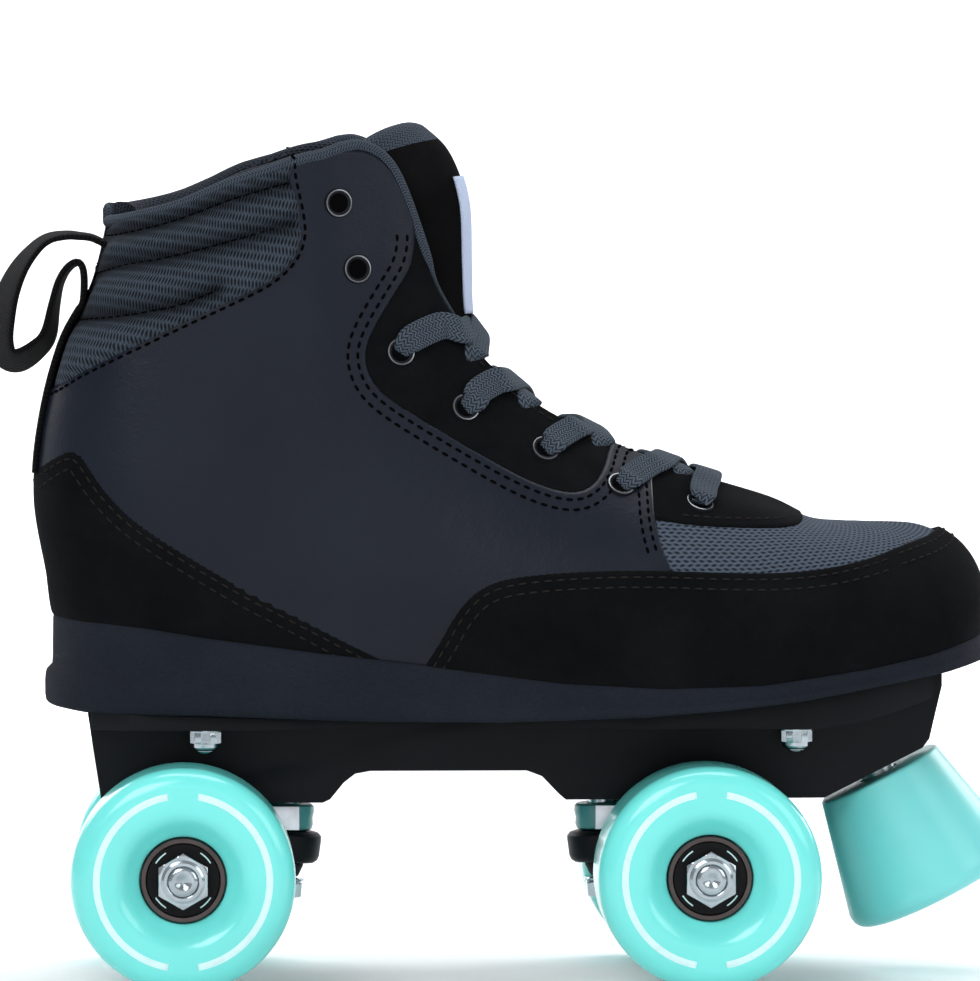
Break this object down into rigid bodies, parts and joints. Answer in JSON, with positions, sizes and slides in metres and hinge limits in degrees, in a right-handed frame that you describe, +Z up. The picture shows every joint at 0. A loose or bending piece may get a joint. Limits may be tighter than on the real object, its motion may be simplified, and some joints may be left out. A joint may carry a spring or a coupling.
{
  "type": "quad roller skate",
  "caption": "Lace-up high-top quad roller skate: padded fabric and leather boot on a nylon plate with sprung trucks, urethane wheels and a toe stop.",
  "frame": {"origin": "on the ground below the middle of the skate's box, standing on its wheels", "axes": "+X towards the toe, +Y towards the inner side of the foot, +Z up"},
  "size_m": [0.2695, 0.108, 0.2244],
  "materials": {
    "suede": "napped matte",
    "leather": "satin",
    "mesh_fabric": "woven matte",
    "lining": "matte",
    "webbing": "woven matte",
    "lace": "woven matte",
    "sole_rubber": "textured matte",
    "nylon": "satin moulded",
    "wheel_urethane": "glossy cast",
    "stop_urethane": "satin cast",
    "cushion_urethane": "satin cast",
    "black_rubber": "matte",
    "zinc_steel": "bright zinc",
    "bearing_steel": "polished",
    "cast_aluminium": "cast satin"
  },
  "bodies": {
    "boot_and_plate": {"collar": "mesh_fabric", "front_cushion_retainer": "zinc_steel", "front_kingpin": "zinc_steel", "front_kingpin_nut": "zinc_steel", "front_lower_cushion": "black_rubber", "front_pivot_cup": "black_rubber", "front_upper_cushion": "cushion_urethane", "heel_counter": "suede", "insole": "lining", "lace": "lace", "lateral_quarter": "leather", "medial_quarter": "leather", "mounting_bolt_front_inner": "zinc_steel", "mounting_bolt_front_outer": "zinc_steel", "mounting_bolt_rear_inner": "zinc_steel", "mounting_bolt_rear_outer": "zinc_steel", "mounting_nut_front_inner": "zinc_steel", "mounting_nut_front_outer": "zinc_steel", "mounting_nut_rear_inner": "zinc_steel", "mounting_nut_rear_outer": "zinc_steel", "plate": "nylon", "pull_loop": "webbing", "rear_cushion_retainer": "zinc_steel", "rear_kingpin": "zinc_steel", "rear_kingpin_nut": "zinc_steel", "rear_lower_cushion": "black_rubber", "rear_pivot_cup": "black_rubber", "rear_upper_cushion": "cushion_urethane", "sole": "sole_rubber", "toe_stop": "stop_urethane", "toe_stop_bolt": "zinc_steel", "tongue": "suede", "vamp": "mesh_fabric"},
    "rear_truck": {"rear_axle": "zinc_steel", "rear_hanger": "cast_aluminium", "rear_inner_axle_nut": "zinc_steel", "rear_inner_bearing_spacer": "zinc_steel", "rear_outer_axle_nut": "zinc_steel", "rear_outer_bearing_spacer": "zinc_steel", "rear_yoke_cup": "nylon"},
    "front_truck": {"front_axle": "zinc_steel", "front_hanger": "cast_aluminium", "front_inner_axle_nut": "zinc_steel", "front_inner_bearing_spacer": "zinc_steel", "front_outer_axle_nut": "zinc_steel", "front_outer_bearing_spacer": "zinc_steel", "front_yoke_cup": "nylon"},
    "rear_outer_wheel_body": {"rear_outer_inboard_bearing": "bearing_steel", "rear_outer_outboard_bearing": "bearing_steel", "rear_outer_wheel": "wheel_urethane"},
    "rear_inner_wheel_body": {"rear_inner_inboard_bearing": "bearing_steel", "rear_inner_outboard_bearing": "bearing_steel", "rear_inner_wheel": "wheel_urethane"},
    "front_outer_wheel_body": {"front_outer_inboard_bearing": "bearing_steel", "front_outer_outboard_bearing": "bearing_steel", "front_outer_wheel": "wheel_urethane"},
    "front_inner_wheel_body": {"front_inner_inboard_bearing": "bearing_steel", "front_inner_outboard_bearing": "bearing_steel", "front_inner_wheel": "wheel_urethane"}
  },
  "joints": [
    {"name": "rear_truck_lean", "type": "hinge", "parent": "boot_and_plate", "child": "rear_truck", "pos_m": [-0.06061, 0, 0.03435], "axis": [0.9374, 0, -0.3481], "range_deg": [-4.5, 4.5], "stiffness_Nm_per_rad": 8, "deforming": ["rear_upper_cushion", "rear_lower_cushion"]},
    {"name": "rear_outer_wheel_spin", "type": "hinge", "parent": "rear_truck", "child": "rear_outer_wheel_body", "pos_m": [-0.08633, -0.037, 0.029], "axis": [0, 1, 0], "continuous": true},
    {"name": "rear_inner_wheel_spin", "type": "hinge", "parent": "rear_truck", "child": "rear_inner_wheel_body", "pos_m": [-0.08633, 0.037, 0.029], "axis": [0, 1, 0], "continuous": true},
    {"name": "front_truck_lean", "type": "hinge", "parent": "boot_and_plate", "child": "front_truck", "pos_m": [0.02535, 0, 0.03435], "axis": [0.9331, 0, 0.3596], "range_deg": [-4.5, 4.5], "stiffness_Nm_per_rad": 8, "deforming": ["front_upper_cushion", "front_lower_cushion"]},
    {"name": "front_outer_wheel_spin", "type": "hinge", "parent": "front_truck", "child": "front_outer_wheel_body", "pos_m": [0.04967, -0.037, 0.029], "axis": [0, 1, 0], "continuous": true},
    {"name": "front_inner_wheel_spin", "type": "hinge", "parent": "front_truck", "child": "front_inner_wheel_body", "pos_m": [0.04967, 0.037, 0.029], "axis": [0, 1, 0], "continuous": true}
  ]
}
